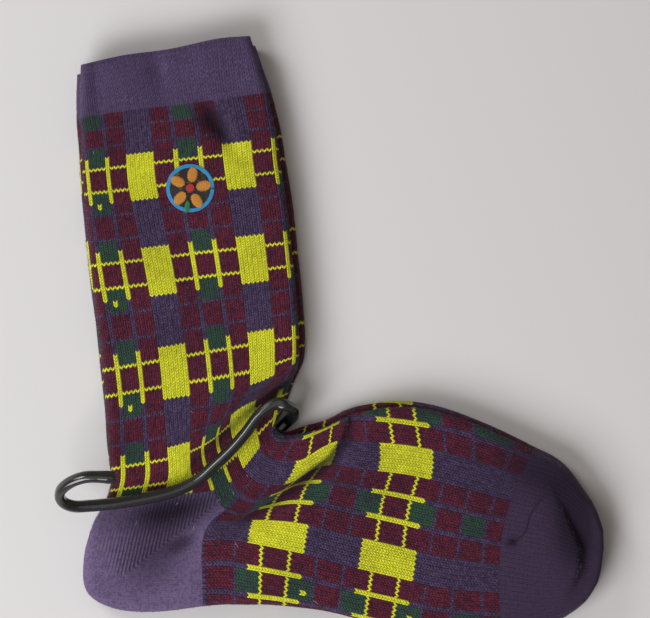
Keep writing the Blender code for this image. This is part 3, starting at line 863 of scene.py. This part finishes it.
# Embroidery and toe seam, laid strand by strand.
threadLook = {
    "radius": 0.20,
    "spacing": 0.41,
    "crown": 0.32,
    # colour, darker colour and, where they are not the usual ones, roughness, sheen and specular
    "petal": (shade(0.832, 0.351, 0.039), shade(0.220, 0.070, 0.012)),
    "centre": (shade(0.644, 0.034, 0.029), shade(0.200, 0.010, 0.010)),
    "leaf": (shade(0.037, 0.300, 0.088), shade(0.008, 0.070, 0.020)),
    "ring": (shade(0.027, 0.405, 0.810), shade(0.006, 0.110, 0.260)),
    "ground": (shade(0.007, 0.004, 0.009), shade(0.005, 0.004, 0.007), 0.6),
    "seam": (shade(0.030, 0.018, 0.040), yarns["purpleDark"], 0.95, 0.02, 0.08),
}
threads = {name: makeThread(name + "Thread", *threadLook[name])
           for name in ("petal", "centre", "leaf", "ring", "ground", "seam")}


# Round strands along paths of points; the strand layer holds length along and turn around.
def strandMesh(paths, radius, around=7):
    points, faces, uvs = [], [], []
    for path in paths:
        path = np.asarray(path, float)
        way = np.gradient(path, axis=0)
        way /= np.maximum(np.linalg.norm(way, axis=1, keepdims=True), 1e-9)
        side = np.cross(way, (0.0, 0.0, 1.0))
        side /= np.maximum(np.linalg.norm(side, axis=1, keepdims=True), 1e-9)
        up = np.cross(side, way)
        reach = np.concatenate([[0], np.cumsum(np.linalg.norm(np.diff(path, axis=0), axis=1))])
        start = len(points)
        for i in range(len(path)):
            thin = 0.55 if i in (0, len(path) - 1) else 1.0
            for k in range(around):
                angle = 2 * pi * k / around
                points.append(path[i] + (side[i] * cos(angle) + up[i] * sin(angle)) * radius * thin)
        sides, caps = tubeFaces(start, len(path), around)
        faces += sides + caps
        for low, high in zip(reach[:-1] / 2.5, reach[1:] / 2.5):
            for k in range(around):
                a, b = k / around, (k + 1) / around
                uvs += [(low, a), (low, b), (high, b), (high, a)]
        uvs += [(0.0, 0.0)] * (2 * around)
    return points, faces, uvs


def clothHeight(spot):
    return upperTop - upperRelief(np.array([spot]))[0] - 0.05


# Point of a motif's strand: on the upper sock above its cloth, on the lower one below it.
def threadPoint(side, spot, lift):
    return (*spot, clothHeight(spot) + lift if side == "top" else 0.45 - lift * 0.6)


# Strands laid side by side across an oval, crowned along the middle.
def satin(side, centre, turn, long, short, lift):
    out = np.array([cos(turn), sin(turn)])
    cross = np.array([-out[1], out[0]])
    paths = []
    steps = int(long / threadLook["spacing"])
    for step in range(-steps, steps + 1):
        t = step * threadLook["spacing"] / long
        wide = short * (1 - abs(t) ** 2.4) ** 0.5 * (1 + 0.10 * sin(step * 2.7))
        if wide < 0.25:
            continue
        path = []
        for i in range(9):
            a = -1 + i / 4
            spot = centre + out * (t * long + 0.12 * a) + cross * (a * wide)
            height = lift + threadLook["crown"] * (1 - a * a) ** 0.5 - (0.45 if i in (0, 8) else 0.0)
            path.append(threadPoint(side, spot, height))
        paths.append(path)
    return paths


def ringPaths(side, centre, radius, rows, lift):
    paths = []
    for row in range(rows):
        path = []
        for i in range(61):
            angle = 2 * pi * i / 60
            spot = centre + (radius + row * threadLook["spacing"]) * np.array([cos(angle), sin(angle)])
            path.append(threadPoint(side, spot, lift + 0.05 * sin(i * 1.9 + row)))
        paths.append(path)
    return paths


def addStrands(name, paths, radius, material, node, body, around=7):
    points, faces, uvs = strandMesh(paths, radius, around)
    piece = makeMesh(name, points, faces, material, "strand", uvs)
    faceOutward(piece)
    if node:
        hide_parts(node)
    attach(piece, body)


def middleOf(node):
    low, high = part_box(node)
    spot = (low + high) / 2 / millimetre
    return np.array([spot.x, spot.y]), (high - low) / millimetre


motifLook = {  # half length, half width and lift of each satin field; the rest around the round ground
    "petal": (3.3, 2.5, 0.22),
    "centre": (2.0, 1.9, 0.40),
    "centreTurn": 0.6,
    "leaf": (2.6, 1.2, 0.25),
    "ringInside": 1.6,    # ring's inner strand from the ground's rim
    "ringRows": 4,
    "ringLift": 0.20,
    "fillStart": 0.3,
    "fillInside": 1.9,
    "fillLift": -0.02,
}


def buildMotif(side):
    heart = middleOf(side + "_motif_centre")[0]
    ground, groundSize = middleOf(side + "_motif_ground")
    reach = (groundSize.x + groundSize.y) / 4

    def addThreads(part, paths, thread, node):
        addStrands(side + "Motif_" + part, paths, threadLook["radius"], threads[thread],
                   side + "_" + node, side + "_sock")

    def addLeafOrPetal(part, node, kind):
        spot = middleOf(side + "_" + node)[0]
        away = spot - heart
        field = satin(side, spot, np.arctan2(away[1], away[0]), *motifLook[kind])
        addThreads(part, field, kind, node)

    for number in range(1, 6):
        addLeafOrPetal("petal" + str(number), "petal_" + str(number), "petal")
    field = satin(side, heart, motifLook["centreTurn"], *motifLook["centre"])
    addThreads("centre", field, "centre", "motif_centre")
    addLeafOrPetal("leaf", "motif_leaf", "leaf")
    inside = reach - motifLook["ringInside"]
    rings = ringPaths(side, ground, inside, motifLook["ringRows"], motifLook["ringLift"])
    addThreads("ring", rings, "ring", "motif_ground")
    rows = int((reach - motifLook["fillInside"]) / threadLook["spacing"])
    fill = ringPaths(side, ground, motifLook["fillStart"], rows, motifLook["fillLift"])
    addThreads("ground", fill, "ground", "motif_ground")
    print("motif", side, [round(v, 2) for v in groundSize], flush=True)


seamLook = {
    "route": [(84.0, -91.5), (88.5, -88.0), (91.0, -80.0), (96.0, -72.5), (100.0, -66.5)],
    "stitches": 45,
    "radius": 0.22,
    "along": 0.85,    # half a stitch's length along the seam
    "across": 0.30,   # and across it
    "lift": 0.10,
    "dip": 0.22,      # how much lower a stitch's ends lie
}


# Linked stitches joining toe and foot, set slanted along the route.
def buildToeSeam(side):
    corners = np.array(seamLook["route"]) + (shiftX, 0.0)
    fine = np.linspace(0, len(corners) - 1, seamLook["stitches"] + 1)
    route = hermite(np.arange(len(corners)), corners, fine)
    paths = []
    for here, there in zip(route[:-1], route[1:]):
        way = (there - here) / np.linalg.norm(there - here)
        across = np.array([-way[1], way[0]])
        path = []
        for a in np.linspace(-1, 1, 6):
            spot = here + way * (a * seamLook["along"]) + across * (a * seamLook["across"])
            base = clothHeight(spot) if side == "top" else lowerTop - 0.6
            path.append((*spot, base + seamLook["lift"] - seamLook["dip"] * a * a))
        paths.append(path)
    addStrands(side + "Sock_toeSeam", paths, seamLook["radius"], threads["seam"],
               side + "_toe_seam", side + "_sock")


fuzzLook = {
    "edgeFibres": 1700,
    "faceFibres": 420,
    "radius": 0.048,
    "length": (0.5, 1.3),
    "lint": 26,
    "lintRadius": 0.05,
    "lintLength": (1.2, 3.4),
    "stand": (0.12, 0.05),     # how far a fibre starts above the cloth: at the edges, on the face
    "colour": shade(0.150, 0.110, 0.190),
    "lintColour": shade(0.500, 0.470, 0.520),
}


# A short curled fibre standing out of the cloth.
def fibrePath(surface, r, k, out, length, draw, stand):
    way = draw.normal(size=3)
    way -= out * (way @ out)
    way /= np.linalg.norm(way)
    bend = np.cross(out, way) * draw.uniform(-0.5, 0.5)
    rise = draw.uniform(0.25, 0.9) if stand > 0.1 else 0.12
    return [surface.points[r, k] + (way * t + bend * t * t) * length
            + out * (stand + rise * 0.35 * sin(pi * t) - 0.1) for t in np.linspace(0, 1, 5)]


def buildFuzz(side):
    surface = surfaces[side]
    normals = surface.normals()
    draw = np.random.default_rng(11 if side == "top" else 12)
    heights = surface.points[..., 2]
    rows, columns = heights.shape
    paths = []
    count = fuzzLook["edgeFibres"] + (fuzzLook["faceFibres"] if side == "top" else 0)
    while len(paths) < count:
        r, k = draw.integers(2, rows - 6), draw.integers(0, columns)
        flatness = abs(normals[r, k, 2])
        atEdge = len(paths) < fuzzLook["edgeFibres"]
        if heights[r, k] < heights.mean() - 2.5 or (flatness > 0.75 if atEdge else flatness < 0.8):
            continue
        length, stand = draw.uniform(*fuzzLook["length"]), fuzzLook["stand"][0 if atEdge else 1]
        path = fibrePath(surface, r, k, normals[r, k], length, draw, stand)
        if max(spot[2] for spot in path) < heights.max() + 0.1:
            paths.append(path)
    body = side + "_sock"
    addStrands(side + "Sock_fuzz", paths, fuzzLook["radius"], fuzzFinish, None, body, 3)
    if side == "top":
        lint = []
        for i in range(fuzzLook["lint"]):
            r, k = draw.integers(10, rows - 12), draw.integers(0, columns)
            while normals[r, k, 2] < 0.9:
                k = draw.integers(0, columns)
            length = draw.uniform(*fuzzLook["lintLength"])
            lint.append(fibrePath(surface, r, k, normals[r, k], length, draw, fuzzLook["stand"][1]))
        addStrands("topSock_lint", lint, fuzzLook["lintRadius"], lintFinish, None, body, 4)
    print("fuzz", side, len(paths), flush=True)


def makeFibre(name, colour):
    board = Board(name, 0.85, 0.2, 0.0, 0.2)
    board.shader.inputs["Base Color"].default_value = colour
    return board.material


fuzzFinish = makeFibre("fuzzFibre", fuzzLook["colour"])
lintFinish = makeFibre("lintFibre", fuzzLook["lintColour"])
for side in ("top", "bottom"):
    buildMotif(side)
    buildToeSeam(side)
    buildFuzz(side)


# Stage, light and camera.
stageLook = {
    "floor": shade(0.555, 0.545, 0.555),
    "floorWide": 6.0,
    "viewX": -2.25,
    "viewY": 12.6,
    "frameWide": 292.5,
    "cameraHigh": 3.0,
    "room": shade(1.0, 0.88, 0.74),
    "roomStrength": 0.20,
}
lamps = {  # place in metres, size, power and colour; all aim at the middle of the floor
    "window": ((-0.88, -0.98, 1.18), 1.15, 34.5, (0.985, 0.985, 1.0)),
    "paneGlow": ((-1.00, 0.75, 0.80), 0.55, 9.0, (1.0, 1.0, 1.0)),
    "skyFill": ((-0.2, 0.3, 1.8), 1.5, 4.0, (1.0, 0.985, 0.97)),
}


def makeStage():
    bpy.ops.mesh.primitive_plane_add(size=stageLook["floorWide"], location=(0, 0, 0))
    floor = bpy.context.object
    floor.name = "floor"
    board = Board("floorPaint", 0.75)
    board.shader.inputs["Base Color"].default_value = stageLook["floor"]
    floor.data.materials.append(board.material)


def addLamp(name, place, size, power, colour):
    lamp = bpy.data.lights.new(name, "AREA")
    lamp.shape = "SQUARE"
    lamp.size = size
    lamp.energy = power
    lamp.color = colour
    holder = bpy.data.objects.new(name, lamp)
    holder.location = place
    holder.rotation_euler = (-Vector(place)).to_track_quat("-Z", "Y").to_euler()
    bpy.context.scene.collection.objects.link(holder)


def makeCamera():
    lens = bpy.data.cameras.new("camera")
    lens.sensor_width = 36.0
    lens.lens = 36.0 * stageLook["cameraHigh"] / (stageLook["frameWide"] * millimetre)
    lens.clip_end = 20.0
    holder = bpy.data.objects.new("camera", lens)
    holder.location = (stageLook["viewX"] * millimetre, stageLook["viewY"] * millimetre,
                       stageLook["cameraHigh"] + upperTop * millimetre)
    bpy.context.scene.collection.objects.link(holder)
    bpy.context.scene.camera = holder


makeStage()
for name, values in lamps.items():
    addLamp(name, *values)
world = bpy.data.worlds.new("room")
bpy.context.scene.world = world
world.use_nodes = True
world.node_tree.nodes["Background"].inputs[0].default_value = stageLook["room"]
world.node_tree.nodes["Background"].inputs[1].default_value = stageLook["roomStrength"]
makeCamera()
bpy.context.scene.view_settings.view_transform = "Standard"
print("stage lamps", len(lamps), flush=True)
